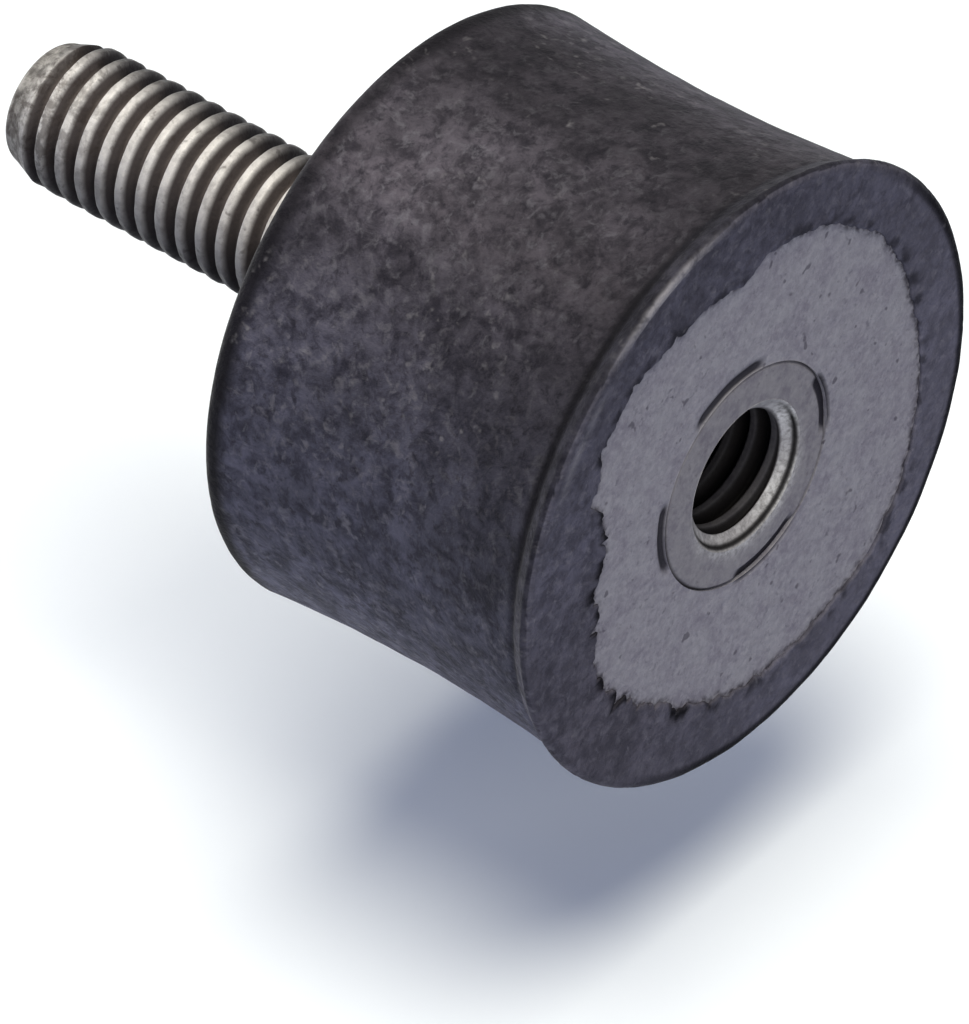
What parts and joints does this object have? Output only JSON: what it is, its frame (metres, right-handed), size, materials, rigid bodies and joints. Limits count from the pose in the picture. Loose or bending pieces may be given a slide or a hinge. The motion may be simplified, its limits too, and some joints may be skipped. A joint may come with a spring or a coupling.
{
  "type": "bobbin vibration mount",
  "caption": "Round rubber vibration mount: waisted body with a flared lip, a tapped bush in one end plate and a threaded stud on the other.",
  "frame": {"origin": "centre of the tapped end face, where the mount's axis meets the plane that it stands on", "axes": "+Z along the mount's axis, from the tapped face towards the stud's tip; the part is round about Z, so +X and +Y are free"},
  "size_m": [0.0254, 0.0254, 0.0345],
  "materials": {
    "rubber": "matt moulded natural rubber, blue-black, dusty and mottled",
    "coated_plate": "steel plate under a matt grey bonding primer",
    "bush_steel": "steel bush, grey coated on its face, bright in the countersink and dark in the thread",
    "stud_steel": "rolled steel thread, worn bright on its crests and dull in its roots"
  },
  "bodies": {
    "root": {"rubber_body": "rubber", "tapped_end_plate": "coated_plate", "threaded_bush": "bush_steel", "stud_end_plate": "coated_plate", "stud": "stud_steel"}
  },
  "joints": []
}
